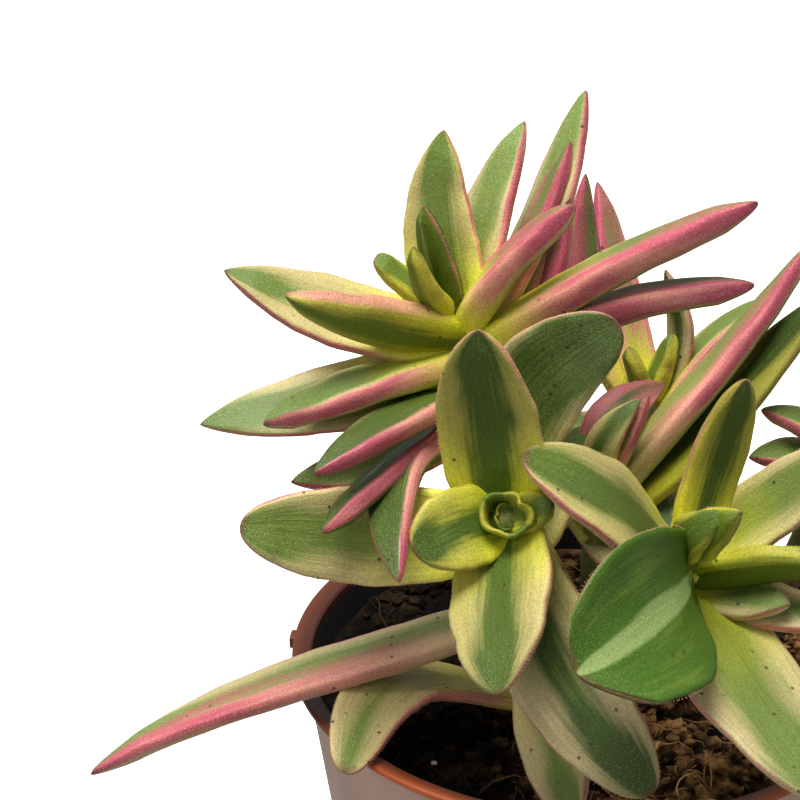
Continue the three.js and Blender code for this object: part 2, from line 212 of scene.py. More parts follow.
# %% [markdown]
# ## Grain
# Living skin, plastic and soil all have fine grain, at different sizes. One group serves them all: it gives
# a height for the bump, and a value that lightens or darkens the colour. Both are noise on Object
# coordinates.

# %% The grain group
grain, given, made = new_group(
    "grain",
    {"Size mm": "Float", "Detail": "Float"},
    {"Value": "Float", "Height": "Float", "Place": "Vector"},
)
place = add(grain, "TexCoord", {}).outputs["Object"]
per_metre = calc(grain, "DIVIDE", 1000.0, given["Size mm"])
cloud = add(grain, "TexNoise", {"Vector": place, "Scale": per_metre, "Detail": given["Detail"]})
put(grain, made["Value"], fade(grain, cloud.outputs[0], 0.3, 0.7))
put(grain, made["Height"], cloud.outputs[0])
put(grain, made["Place"], place)

# %% [markdown]
# ## Leaf skin
# A variegated leaf is painted along its length: a green band down the middle that melts into cream or
# yellow sides, a rosy margin, and a yellow-green base. The pattern has to follow each leaf, so every leaf
# carries its own coordinates: across (-1 to 1), along (0 at the stem, 1 at the tip) and rise (1 on the
# upper face, 0 on the margin, -1 underneath). Streaky noise, long along the leaf, frays the edges of the
# bands.

# %% Colours of the leaves
CREAM = shade(202, 181, 133)
YELLOW = shade(180, 172, 58)
BASE_YELLOW = shade(214, 212, 36)
BASE_GREEN = shade(70, 92, 2)
LIGHT_GREEN = shade(111, 132, 46)
DARK_GREEN = shade(46, 68, 12)
FROSTED = shade(128, 144, 80)
OLIVE = shade(104, 122, 24)
SALMON = shade(214, 146, 126)
ROSE = shade(180, 82, 98)
TIP_BROWN = shade(104, 62, 48)
PALE_GREEN = shade(146, 166, 98)
VIVID_GREEN = shade(62, 98, 18)
PALE_DOT = shade(206, 214, 184)
SCAR = shade(60, 44, 24)

# %% The leaf banding group
DRESS_PARTS = {
    "band": ("Green", "Deep", "Frost"),
    "flush": ("Gold", "Rose", "Rim"),
    "marks": ("Seed", "Flank", "Wear"),
    "finish": ("Crease", "Lean", "Light"),
}

banding, given, made = new_group(
    "leaf_banding",
    {"Spot": "Vector", **{label: "Float" for labels in DRESS_PARTS.values() for label in labels}},
    {"Color": "Color", "Roughness": "Float", "Coat": "Float", "Height": "Float"},
)
across, along, rise = parts_of(banding, given["Spot"])


def plus(a, b):
    return calc(banding, "ADD", a, b)


def less(a, b):
    return calc(banding, "SUBTRACT", a, b)


def times(a, b):
    return calc(banding, "MULTIPLY", a, b)


def ramp(value, low, high):
    return fade(banding, value, low, high)


def tint(share, first, second):
    return mixed(banding, share, first, second)


def streaks(crosswise, lengthwise, detail):
    """Noise that is long along the leaf and short across it, from -0.5 to 0.5."""
    sideways = plus(times(across, crosswise), times(given["Seed"], 17.0))
    where = {0: sideways, 1: times(along, lengthwise), 2: times(rise, 0.8)}
    where = add(banding, "CombineXYZ", where).outputs[0]
    return less(add(banding, "TexNoise", {"Vector": where, "Scale": 1.0, "Detail": detail}).outputs[0], 0.5)


def size_of(value):
    return calc(banding, "ABSOLUTE", value)


broad = streaks(1.4, 2.6, 2.0)
fine = streaks(11.0, 2.6, 4.0)
hair_lines = streaks(34.0, 3.0, 2.0)
frayed = plus(size_of(across), plus(times(broad, 0.7), times(fine, 0.5)))
print("banding nodes so far:", len(banding.nodes))

# %% The green band and the pale sides
tipward = ramp(along, 0.6, 1.0)
at_base = times(ramp(along, 0.62, 0.08), ramp(given["Gold"], 0.0, 0.1))
past_edge = less(frayed, plus(given["Green"], times(tipward, 0.45)))
in_band = ramp(past_edge, 0.2, -0.2)
near_band = ramp(past_edge, 0.6, -0.05)
sides = tint(given["Gold"], CREAM, YELLOW)
sides = tint(times(at_base, 0.9), sides, BASE_YELLOW)
greens = tint(given["Deep"], LIGHT_GREEN, DARK_GREEN)
greens = tint(given["Crease"], greens, VIVID_GREEN)
greens = tint(times(given["Frost"], 0.75), greens, FROSTED)
greens = tint(times(ramp(plus(fine, times(broad, 0.8)), 0.0, 0.3), 0.45), greens, LIGHT_GREEN)
base_green = tint(ramp(given["Frost"], 0.2, 0.5), BASE_GREEN, BASE_YELLOW)
greens = tint(times(at_base, 0.85), greens, base_green)
upper = tint(times(near_band, 0.85), sides, tint(0.55, sides, greens))
upper = tint(in_band, upper, greens)

# %% The underside
in_under = ramp(less(frayed, plus(times(given["Green"], 0.8), 0.3)), 0.25, -0.3)
under_green = tint(times(given["Frost"], 0.5), OLIVE, FROSTED)
under_green = tint(times(given["Deep"], 0.4), under_green, DARK_GREEN)
under_green = tint(times(at_base, 0.7), under_green, base_green)
under = tint(in_under, sides, under_green)
skin = tint(ramp(rise, -0.12, 0.12), under, upper)

# %% The rosy margin
off_flank = calc(banding, "DIVIDE", size_of(less(rise, given["Flank"])), plus(size_of(given["Flank"]), 1.0))
into_margin = plus(less(1.0, off_flank), times(across, given["Lean"]))
past_rim = less(plus(into_margin, plus(times(fine, 0.35), times(broad, 0.5))), given["Rim"])
in_margin = ramp(past_rim, -0.12, 0.16)
blush = times(times(in_margin, ramp(given["Rose"], 0.0, 0.6)), ramp(along, 0.06, 0.44))
redness = ramp(plus(plus(broad, times(fine, 0.5)), times(along, 0.5)), 0.05, 0.45)
pinks = tint(times(redness, given["Rose"]), SALMON, ROSE)
skin = tint(blush, skin, pinks)
skin = tint(times(ramp(along, 0.965, 1.0), 0.7), skin, TIP_BROWN)
off_crease = plus(size_of(plus(across, times(broad, 0.15))), times(fine, 0.06))
skin = tint(times(given["Crease"], ramp(off_crease, 0.2, 0.12)), skin, PALE_GREEN)

# %% Waxy dots, grain and scars
DOTS_PER_METRE = 2600.0
FLECKS_PER_METRE = 520.0

skin_grain = add(banding, "Group", {"Size mm": 0.34, "Detail": 2.0}, node_tree=grain).outputs
dots = add(banding, "TexVoronoi", {"Vector": skin_grain["Place"], "Scale": DOTS_PER_METRE}).outputs
dot = ramp(dots["Distance"], 0.4, 0.1)
waxy = times(dot, plus(plus(0.05, times(given["Frost"], 0.22)), times(tipward, 0.12)))
skin = tint(waxy, skin, PALE_DOT)
worn = times(given["Wear"], ramp(plus(broad, times(fine, 0.9)), 0.0, 0.35))
skin = tint(times(worn, 0.5), skin, DARK_GREEN)
light = plus(plus(0.85, times(skin_grain["Value"], 0.3)), times(hair_lines, 0.35))
# Each leaf's own light factor scales its brightness, partly for its tone and partly as painted light and
# shade. Towards the base the skin is painted up to 22 percent brighter, as painted light.
light = times(times(light, given["Light"]), plus(times(at_base, 0.22), 1.0))
bright = add(banding, "VectorMath", {0: skin, 1: light}, operation="MULTIPLY").outputs[0]
flecks = add(banding, "TexVoronoi", {"Vector": skin_grain["Place"], "Scale": FLECKS_PER_METRE}).outputs
chance = parts_of(banding, flecks["Color"])[0]
rare = ramp(plus(chance, times(given["Wear"], 0.25)), 0.975, 0.985)
fleck = times(rare, ramp(flecks["Distance"], 0.22, 0.1))
put(banding, made["Color"], tint(times(fleck, 0.85), bright, SCAR))
put(banding, made["Roughness"], plus(times(skin_grain["Height"], 0.3), 0.3))
put(banding, made["Coat"], times(ramp(given["Wear"], 0.7, 1.2), ramp(plus(fine, broad), -0.1, 0.3)))
bumps = plus(plus(skin_grain["Height"], times(dot, 0.4)), times(hair_lines, 0.8))
put(banding, made["Height"], plus(bumps, times(plus(fine, broad), times(given["Wear"], 3.0))))
print("banding nodes:", len(banding.nodes))

# %% The leaf material
leaf_skin, tree, coat = new_material(
    "leaf_skin",
    Subsurface_Weight=0.1,
    Subsurface_Scale=1.2 * MM,
    Specular_IOR_Level=0.25,
    Coat_Roughness=0.18,
)
pattern = add(tree, "Group", {"Spot": carried_by(tree, "spot")["Vector"]}, node_tree=banding)
for attribute, labels in DRESS_PARTS.items():
    for label, value in zip(labels, parts_of(tree, carried_by(tree, attribute)["Vector"])):
        put(tree, pattern.inputs[label], value)
for label, result in {"Base Color": "Color", "Roughness": "Roughness", "Coat Weight": "Coat"}.items():
    put(tree, coat.inputs[label], pattern.outputs[result])
relief(tree, coat, pattern.outputs["Height"], 0.35, 0.2 * MM)


# %% [markdown]
# ## The leaf blank
# All the leaves grow by one plan, so they start from one blank. It is modelled as by hand: a filled circle
# is extruded upwards again and again, in shorter and shorter steps towards the tip, and its last ring is
# drawn together. Each leaf is a copy of it with its own mesh, whose points are then laid out along that
# leaf.

# %% Model the blank
AROUND = 44
STATIONS = 54
TIP_CROWDING = 1.5


def choose(*pieces):
    """Selects these pieces alone and makes the first one active."""
    bpy.ops.object.select_all(action="DESELECT")
    for piece in pieces:
        piece.select_set(True)
    bpy.context.view_layer.objects.active = pieces[0]


def close_mesh(merge):
    """Merges points that share a place, if asked, turns every face outwards and leaves Edit Mode."""
    bpy.ops.mesh.select_all(action="SELECT")
    if merge:
        bpy.ops.mesh.remove_doubles(threshold=1e-6)
    bpy.ops.mesh.normals_make_consistent(inside=False)
    bpy.ops.object.mode_set(mode="OBJECT")


bpy.ops.mesh.primitive_circle_add(vertices=AROUND, radius=1, fill_type="NGON")
blank = bpy.context.object
blank.name = "leaf_blank"
bpy.ops.object.mode_set(mode="EDIT")
reached = 0.0
for station in range(1, STATIONS + 1):
    height = 1 - (1 - station / STATIONS) ** TIP_CROWDING
    bpy.ops.mesh.extrude_region_move(TRANSFORM_OT_translate={"value": (0, 0, height - reached)})
    reached = height
bpy.ops.transform.resize(value=(0, 0, 1))
close_mesh(merge=True)
print("blank faces:", len(blank.data.polygons))

# %% [markdown]
# ## Laying out a leaf
# The stem is a smooth curve from the soil to its growing point. A leaf leaves it at a set turn and spread,
# bows and twists along the way, and has a blunt, slightly channelled section. These are the same sums and
# the same sizes in millimetres as in the solid model, so each fine leaf stands where its solid does.

# %% Helpers for directions


def unit(v):
    return v / np.linalg.norm(v, axis=-1, keepdims=True)


def dot_rows(a, b):
    return np.sum(a * b, axis=-1, keepdims=True)


def turned(v, axis, degrees):
    """Vectors v turned about unit axes, by degrees that may differ from row to row."""
    angle = np.radians(degrees)
    if np.ndim(angle) == 1:
        angle = angle[:, None]
    along_axis = axis * dot_rows(axis, v)
    return along_axis + (v - along_axis) * np.cos(angle) + np.cross(axis, v) * np.sin(angle)


def square_to(axis):
    """Two directions square to an axis, the first as near +X as it can be."""
    ref = unit(np.array([1.0, 0, 0]) - axis * axis[..., :1])
    return ref, np.cross(axis, ref)


# %% The stem's curve
SOIL_LEVEL = 85
CURVE_STEPS = 400


class StemCurve:
    """A curve in mm from a foot on the soil, drawn towards a bend, to the apex where the stem grows."""

    def __init__(self, foot, bend, apex):
        a, b, c = np.array([*foot, SOIL_LEVEL], float), np.array(bend, float), np.array(apex, float)
        t = np.linspace(0, 1, CURVE_STEPS)[:, None]
        self.points = (1 - t) ** 2 * a + 2 * t * (1 - t) * b + t**2 * c
        self.tangents = unit((1 - t) * (b - a) + t * (c - b))
        steps = np.linalg.norm(np.diff(self.points, axis=0), axis=1)
        self.run = np.concatenate([[0], np.cumsum(steps)])

    def at(self, length):
        point, axis = (
            np.stack([np.interp(length, self.run, rows[:, k]) for k in range(3)], -1)
            for rows in (self.points, self.tangents)
        )
        return point, unit(axis)

    def below_tip(self, down):
        return self.at(max(self.run[-1] - down, 0))


# %% The leaf's path and section
BLUNTNESS = 0.62
SECTION_FLATNESS = 0.3
SECTION_STEPS = 1441
FALL_POWER = 2.2
TANGENT_REACH = 0.01


def blunt(wave):
    """A sine or a cosine, made blunter, which turns a circle into a rounded oblong."""
    return np.sign(wave) * np.abs(wave) ** BLUNTNESS


def even_turn(turn):
    """Turns spread evenly round the leaf's blunt section, so that no part of it is short of points."""
    angle = np.linspace(-math.pi, math.pi, SECTION_STEPS)
    x, y = blunt(np.cos(angle)), SECTION_FLATNESS * blunt(np.sin(angle))
    run = np.concatenate([[0], np.cumsum(np.hypot(np.diff(x), np.diff(y)))])
    return np.interp(turn, run / run[-1] * 2 * math.pi - math.pi, angle)


def width_at(t, row):
    wide, neck = row["wide"], row["neck"]
    rising = neck + (1 - neck) * np.sin(math.pi / 2 * np.minimum(t / wide, 1))
    falling = np.clip(1 - np.clip((t - wide) / (1 - wide), 0, 1) ** FALL_POWER, 0, 1) ** row["tip"]
    return np.where(t < wide, rising, falling)


def leaf_frame(curve, row, t):
    """The leaf's middle line at shares t of its length, with its directions ahead, up and right."""
    point, axis = curve.below_tip(row["down"])
    ref, side = square_to(axis)
    turn, spread = math.radians(row["turn"]), math.radians(row["spread"])
    radial = ref * math.cos(turn) + side * math.sin(turn)
    forward = axis * math.cos(spread) + radial * math.sin(spread)
    face = turned(axis * math.sin(spread) - radial * math.cos(spread), forward, row["roll"])
    bow = face * row["arch"] + np.cross(forward, face) * row["sway"]
    skew = math.log(0.5) / math.log(row["peak"])

    def centre(s):
        bend = np.sin(math.pi * np.maximum(s, 0) ** skew)
        return point + forward * row["length"] * s[:, None] + bow * bend[:, None]

    ahead = unit(centre(t + TANGENT_REACH) - centre(t - TANGENT_REACH))
    up = unit(face - ahead * dot_rows(face, ahead))
    up = turned(up, ahead, row["twist"] * t)
    return centre(t), ahead, up, np.cross(up, ahead)


# %% [markdown]
# ## The leaves' dress
# The leaves differ in how they are painted. A dress gives the half-width of the green band, how deep its
# green is and how frosted; how yellow the sides are, how rosy the margin is, and where it starts, from 1
# for a thin line at the very edge to 0.4 for a broad flank; how far up the side that flank sits, and how
# worn the skin is. A leaf can have three values more: how plainly its crease shows, to which side the rosy
# flank leans, and how light its skin is beside the others, which is partly its own tone and partly painted
# light and shade.

# %% Dresses
DRESSES = {
    "banded": (0.34, 0.70, 0.10, 0.40, 0.60, 0.80, 0.0, 0.1),
    "olive": (0.40, 0.75, 0.00, 0.75, 0.50, 0.88, 0.0, 0.1),
    "gold": (0.36, 0.80, 0.00, 0.95, 0.40, 0.90, 0.0, 0.05),
    "sunny": (0.42, 0.35, 0.30, 0.40, 0.55, 0.84, 0.0, 0.1),
    "cream": (0.26, 0.25, 0.45, 0.04, 0.55, 0.72, 0.0, 0.7),
    "sage": (0.54, 0.60, 0.45, 0.15, 0.55, 0.80, 0.0, 0.15),
    "tan": (0.42, 0.20, 0.45, 0.20, 0.65, 0.76, 0.0, 0.7),
    "hazel": (0.50, 0.45, 0.45, 0.06, 0.50, 0.84, 0.0, 0.6),
    "silver": (0.58, 0.40, 0.85, 0.05, 0.85, 0.62, 0.1, 0.15),
    "wrinkled": (0.85, 0.95, 0.25, 0.10, 1.00, 0.52, 0.1, 1.0),
    "deep": (0.34, 1.00, 0.15, 0.05, 0.55, 0.80, 0.0, 0.7),
    "wet": (0.72, 0.85, 0.25, 0.15, 0.50, 0.86, 0.0, 1.2),
    "bright": (1.60, 0.75, 0.00, 0.60, 0.40, 0.90, 0.0, 0.1),
    "fresh": (0.75, 0.60, 0.00, 1.00, 0.00, 1.20, 0.0, 0.0),
    "young": (0.50, 0.35, 0.00, 1.00, 0.00, 1.20, 0.0, 0.0),
    "rose": (0.60, 0.65, 0.50, 0.15, 1.00, 0.42, 0.25, 0.1),
    "ribbon": (0.60, 0.75, 0.40, 0.15, 1.00, 0.50, 0.1, 0.3),
    "streamer": (0.80, 0.45, 0.60, 0.03, 1.00, 0.66, 0.45, 0.1),
    "arm": (0.42, 0.55, 0.85, 0.00, 0.95, 0.68, 0.45, 0.3),
    "pale": (0.22, 0.25, 0.30, 0.28, 0.60, 0.74, 0.0, 0.1),
    "curled": (-0.06, 0.20, 0.35, 0.22, 0.60, 0.72, 0.0, 0.7),
    "salmon": (0.55, 0.45, 0.35, 0.35, 0.80, 0.50, 0.1, 0.2),
    "blush": (0.20, 0.00, 0.15, 0.95, 0.42, 0.50, 0.3, 0.1),
    "dusky": (0.60, 0.80, 0.00, 0.10, 0.75, 0.45, 0.3, 0.6),
    "hair": (-1.0, 0.00, 0.00, 0.00, 0.35, 0.50, 0.0, 0.0),
}

# %% What a leaf is told
LEAF_VALUES = ("name", "down", "turn", "spread", "length", "width", "dress")
PLAIN_LEAF = {"arch": 0, "sway": 0, "roll": 0, "twist": 0, "peak": 0.5, "thick": 3.8}
PLAIN_LEAF |= {"tip": 0.85, "wide": 0.4, "neck": 0.6, "channel": 0.1}
PLAIN_LEAF |= {"crease": 0, "lean": 0, "light": 1}


def leaf(*values, **bends):
    return {**PLAIN_LEAF, **dict(zip(LEAF_VALUES, values)), **bends}


print("dresses:", len(DRESSES))


# %% The numbers that a leaf carries


def carry(mesh, name, values):
    """Gives every point of a mesh a number, or three, that its material reads."""
    single = np.ndim(values) == 1
    attribute = mesh.attributes.new(name, "FLOAT" if single else "FLOAT_VECTOR", "POINT")
    attribute.data.foreach_set("value" if single else "vector", np.asarray(values, float).ravel())


def dress_mesh(mesh, spot, dress, seed, finish=(0, 0, 1)):
    count = len(mesh.vertices)
    carry(mesh, "spot", spot)
    carry(mesh, "band", np.tile(dress[:3], (count, 1)))
    carry(mesh, "flush", np.tile(dress[3:6], (count, 1)))
    carry(mesh, "marks", np.tile((seed, *dress[6:]), (count, 1)))
    carry(mesh, "finish", np.tile(finish, (count, 1)))


# %% Shape one leaf
WAVE, WAVE_COUNT = 0.07, 6.4
RIPPLE, RIPPLE_COUNT = 0.02, 24
DENT, DENT_SIZE = 0.25, 6.0
UPPER_SHARE = 0.4
TIP_THINNING = 0.35
TIP_START = 0.88

blank_points = np.array([v.co for v in blank.data.vertices])
blank_turn = np.arctan2(blank_points[:, 1], blank_points[:, 0])
blank_along = blank_points[:, 2]
section_turn = even_turn(blank_turn)


def wavy(height, count, side, layer):
    """Noise along a margin, as high as this and with about this many waves on a leaf."""
    return height * np.array([noise.noise((a * count, b, layer)) for a, b in zip(blank_along, side)])


def leaf_shape(curve, row, seed):
    t = blank_along
    middle, ahead, up, right = leaf_frame(curve, row, t)
    s, z = blunt(np.cos(section_turn)), blunt(np.sin(section_turn))
    side = np.sign(s) * 2 + seed * 9
    wave = 1 + wavy(WAVE, WAVE_COUNT, side, 0) + wavy(RIPPLE, RIPPLE_COUNT, side, 5)
    half = row["width"] / 2 * width_at(t, row) * wave
    closing = np.minimum(1, np.sqrt(np.maximum(1 - t, 0) / (1 - TIP_START)))
    depth = row["thick"] * (1 - TIP_THINNING * t) * closing
    share = np.where(z > 0, UPPER_SHARE, 1 - UPPER_SHARE)
    height = z * depth * share + row["channel"] * half * s * s
    points = middle + right * (half * s)[:, None] + up * height[:, None]
    away = Vector((seed * 31, 0, 0))
    dent = DENT * np.array([noise.noise(Vector(p) / DENT_SIZE + away) for p in points]) * closing
    points += up * dent[:, None]
    return points, np.stack([s, t, np.sin(section_turn)], -1)


# %% [markdown]
# ## Hairs on the margins
# The margins carry a fringe of tiny stiff hairs, too small to shape one by one. One hair is a slim cone
# with three sides and a base. It is repeated along both margins at a nearly even spacing, and each leans a
# little its own way.

# %% Grow the fringe
HAIR_SPACING = 0.5
HAIR_LENGTH = 0.42
HAIR_RADIUS = 0.085
HAIRS_FROM, HAIRS_TO = 0.11, 0.97
HAIR_ROOT = 0.985
HAIR_FACES = ((0, 1, 3), (1, 2, 3), (2, 0, 3), (0, 2, 1))
rng = np.random.default_rng(11)


def fringe(curve, row, seed):
    count = max(int(row["length"] * (HAIRS_TO - HAIRS_FROM) / HAIR_SPACING), 2)
    t = np.repeat(np.linspace(HAIRS_FROM, HAIRS_TO, count), 2)
    sign = np.tile([1.0, -1.0], count)
    t = np.clip(t + rng.normal(0, 0.15 * HAIR_SPACING / row["length"], len(t)), 0.05, 0.98)
    middle, ahead, up, right = leaf_frame(curve, row, t)
    half = row["width"] / 2 * width_at(t, row)
    root = middle + right * (half * sign * HAIR_ROOT)[:, None] + up * (row["channel"] * half)[:, None]
    lean = right * sign[:, None] + ahead * rng.normal(0.25, 0.2, len(t))[:, None]
    lean = unit(lean + up * rng.normal(0.1, 0.3, len(t))[:, None])
    tips = root + lean * (HAIR_LENGTH * rng.uniform(0.6, 1.15, len(t)))[:, None]
    corners = []
    for k in range(3):
        angle = 2 * math.pi * k / 3
        corners.append(root + HAIR_RADIUS * (ahead * math.cos(angle) + up * math.sin(angle)))
    points = np.stack([*corners, tips], 1).reshape(-1, 3)
    first = np.arange(len(t))[:, None] * 4
    faces = np.concatenate([first + np.array(f) for f in HAIR_FACES])
    spot = np.repeat(np.stack([sign, t, np.zeros(len(t))], -1), 4, axis=0)
    return points, faces, spot


# %% Helpers for pieces


def mesh_piece(name, points, faces, material):
    mesh = bpy.data.meshes.new(name)
    mesh.from_pydata((np.asarray(points) * MM).tolist(), [], [list(map(int, f)) for f in faces])
    piece = bpy.data.objects.new(name, mesh)
    bpy.context.collection.objects.link(piece)
    mesh.materials.append(material)
    mesh.shade_smooth()
    return piece


def laid_out(piece, points, material):
    """Moves the points of a piece to these places in mm, and gives it a material and a smooth look."""
    piece.data.vertices.foreach_set("co", (points * MM).ravel())
    piece.data.materials.append(material)
    piece.data.shade_smooth()
    return piece


def blank_copy(points, material):
    piece = blank.copy()
    piece.data = blank.data.copy()
    bpy.context.collection.objects.link(piece)
    return laid_out(piece, points, material)


def joined(name, pieces):
    choose(*pieces)
    bpy.ops.object.join()
    pieces[0].name = name
    pieces[0].data.name = name
    return pieces[0]


# %% Make a leaf
EASE = 1.0
BROAD_FLANK = 0.7
grown = []


def kept_inside(points):
    """Eases points that come near the sides of the measured box back into it."""
    for corner, sign in zip(cad_box, (1, -1)):
        wall = np.array(corner) / MM
        depth = (points - wall) * sign
        eased = wall + sign * EASE * np.exp(np.minimum(depth / EASE - 1, 0))
        points = np.where(depth < EASE, eased, points)
    return points


def make_leaf(curve, row):
    seed = len(grown) * 0.37 + 0.5
    grown.append(row["name"])
    points, spot = leaf_shape(curve, row, seed)
    blade = blank_copy(kept_inside(points), leaf_skin)
    dress = DRESSES[row["dress"]]
    dress_mesh(blade.data, spot, dress, seed, (row["crease"], row["lean"], row["light"]))
    points, faces, spot = fringe(curve, row, seed)
    hairs = mesh_piece("hairs", kept_inside(points), faces, leaf_skin)
    dress_mesh(hairs.data, spot, dress if dress[5] < BROAD_FLANK else DRESSES["hair"], seed)
    return joined("blade_" + row["name"], [blade, hairs])


# %% [markdown]
# ## Stems
# Little of the stems shows between the leaves. Each is the same blank, laid along the stem's curve, a
# little swollen at every pair of leaves, and painted as a dull yellow-green shoot that turns brown at the
# soil.

# %% The stem's skin
YOUNG_ABOVE = (90, 125)


def fade_mm(tree, value, low, high):
    """A fade between two sizes in millimetres, for a value in metres."""
    return fade(tree, value, low * MM, high * MM)


stem_skin, tree, coat = new_material(
    "stem_skin", Roughness=0.6, Subsurface_Weight=0.05, Subsurface_Scale=1 * MM
)
rind = add(tree, "Group", {"Size mm": 0.8, "Detail": 4.0}, node_tree=grain).outputs
young = fade_mm(tree, parts_of(tree, rind["Place"])[2], *YOUNG_ABOVE)
light_rind = mixed(tree, young, shade(98, 78, 48), shade(134, 138, 66))
dark_rind = mixed(tree, young, shade(60, 46, 30), shade(96, 108, 44))
put(tree, coat.inputs["Base Color"], mixed(tree, rind["Value"], dark_rind, light_rind))
relief(tree, coat, rind["Height"], 0.5, 0.4 * MM)

# %% Shape one stem
STEM_FOOT_RADIUS = 3.0
STEM_TIP_RADIUS = 1.9
STEM_BURIED = 4
NODE_SPACING = 7.5
NODE_SWELL = 0.125


def make_stem(curve):
    length = blank_along * (curve.run[-1] + STEM_BURIED) - STEM_BURIED
    point, axis = curve.at(np.maximum(length, 0))
    point[:, 2] += np.minimum(length, 0)
    ref, side = square_to(axis)
    share = np.clip(length / curve.run[-1], 0, 1)
    radius = STEM_FOOT_RADIUS + (STEM_TIP_RADIUS - STEM_FOOT_RADIUS) * share
    radius *= 1 + NODE_SWELL * np.maximum(np.cos(2 * math.pi * length / NODE_SPACING), 0) ** 6
    radius = np.where(blank_along >= 1, 0, radius)[:, None]
    points = point + ref * np.cos(blank_turn)[:, None] * radius + side * np.sin(blank_turn)[:, None] * radius
    return blank_copy(points, stem_skin)


# %% Grow a whole stem
def grow(name, curve, leaves, small, extras=()):
    """Grows a stem with its large leaves, each a piece, and the small ones that stay joined to it."""
    for row in leaves:
        piece = make_leaf(curve, row)
        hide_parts("leaf_" + row["name"])
        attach(piece, "root")
    parts = [make_stem(curve)] + [make_leaf(curve, row) for row in small] + list(extras)
    whole = joined("shoot_" + name.replace("stem_", ""), parts)
    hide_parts(name)
    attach(whole, "root")
    print(whole.name, "with", len(leaves), "large leaves and", len(small), "small ones")


# %% [markdown]
# ### The tall stem at the left
# It leans to the left and carries the crown of long leaves. Those on the viewer's side hang down, so their
# rosy flanks show; those behind stand up.

# %% Grow stem left
leaves = [
    leaf("a8", 4, -4, 54, 30, 8, "rose", arch=1.5, roll=-11, twist=5, thick=6),
    leaf("a3", 4, 60, 26, 32, 13.5, "sunny", sway=-2, roll=5, wide=0.3, light=1.1),
    leaf("a2", 5, -159, 47, 32, 10, "blush", arch=-2, roll=69, twist=-6, thick=4.4, lean=0.2, light=0.88),
    leaf("a1", 8, 174, 54, 41, 13.5, "pale", arch=-2, roll=-11, twist=-7, light=0.84),
    leaf("a4", 8, 47, 46, 37, 11, "silver", arch=2, sway=-1, roll=-3, light=1.05),
    leaf("a9", 10, 29, 48, 38, 7, "rose", arch=-1, roll=-6, thick=4),
    leaf("a12", 15, 25, 47, 33, 6, "rose", arch=-3, sway=1, roll=2),
    leaf("a5", 13, 46, 55, 49, 10, "silver", arch=-1, sway=1, roll=-4, twist=2),
    leaf("a10", 9, -11, 69, 56, 8.5, "rose", arch=1.5, roll=-14, twist=6, thick=6, lean=-0.15),
    leaf("a11", 14, -16, 75, 51, 8.5, "rose", arch=3.5, roll=-19, thick=6, lean=-0.2, light=0.8),
    leaf("a16", 10, -145, 71, 39, 10, "ribbon", arch=0.5, sway=1, roll=16, twist=-21, thick=5.6),
    leaf("a15", 13, -164, 75, 46, 12.5, "sage", arch=1, sway=-1, roll=-27),
    leaf(
        "a17", 17, -128, 70, 41, 10, "wrinkled",
        arch=2, sway=-1, roll=11, twist=-12, thick=5, lean=0.2, light=0.85,
    ),
    leaf(
        "a19", 25, -109, 81, 46, 10.5, "wrinkled",
        arch=8, sway=3, roll=30, twist=-6, thick=4.6, light=0.95,
    ),
    leaf("a18", 21, -127, 78, 43, 10.5, "wrinkled", arch=1.5, roll=36, twist=-16, thick=5, lean=0.2),
    leaf("a20", 20, -149, 78, 37, 10, "silver", arch=-3, sway=-1, roll=-19, twist=-7),
]
small = [
    leaf("a13", 12, 100, 76, 34, 11, "silver", arch=2),
    leaf("a14", 18, 75, 84, 38, 11, "silver", arch=4),
    leaf("a21", 25, 115, 92, 33, 10, "sage", arch=5),
    leaf("a6", 1, 15, 6, 21, 6.2, "bright", sway=0.6, roll=-144, crease=0.5),
    leaf("a6b", 1, -109, 12, 17, 4.5, "young", arch=-1.8, roll=-25),
    leaf("a7", 3, 157, 36, 17, 4.5, "young", arch=-0.5, roll=-12, tip=0.3, wide=0.6),
]
grow("stem_left", StemCurve([-2, -2], [-14, -8, 135], [-25, -15, 165]), leaves, small)

# %% [markdown]
# ### The stem at the right
# Its broad leaves lean towards the viewer. One shows only its bright green underside.

# %% Grow stem right
leaves = [
    leaf(
        "c1", 8, -130, 55, 47, 25, "bright",
        arch=5.5, sway=2.5, roll=-52, twist=43, tip=0.5, channel=0.3, wide=0.62, neck=0.05, crease=0.8,
        light=0.92,
    ),
    leaf("c3", 12, -8, 52, 30, 9, "fresh", roll=-92, thick=5),
    leaf("c2", 6, 83, 35, 34, 10, "gold", arch=-3, sway=1.5, roll=17, tip=0.6),
    leaf("c7", 9, 29, 41, 37, 12, "hazel", arch=-5, sway=-1.5, roll=-13, light=1.12),
    leaf(
        "c4", 12, 173, 43, 46, 17.5, "banded",
        arch=5.4, sway=-2.7, roll=10, twist=5, tip=0.5, wide=0.55, peak=0.6, light=0.97,
    ),
    leaf("c9", 15, -27, 57, 22, 9, "sage", arch=-1, roll=2),
    leaf("c10", 18, -22, 66, 33, 10, "cream", roll=-14),
    leaf("c8", 13, -66, 71, 50, 23, "hazel", sway=1.5, roll=-22, twist=2, tip=0.6, light=0.9),
]
small = [
    leaf("c11", 19, 90, 112, 28, 10, "deep", arch=4),
    leaf("c12", 26, 125, 104, 26, 10, "deep", arch=4),
    leaf("c5", 1, 183, 1, 16, 7, "fresh", arch=4, roll=-162),
    leaf("c6", 1, -32, 4, 18, 7.5, "fresh", arch=-2, roll=-128),
]
grow("stem_right", StemCurve([16, 2], [7, -15, 110], [14, -32, 131]), leaves, small)

# %% [markdown]
# ### The stem at the back
# Narrow upright leaves, partly hidden by the crown.

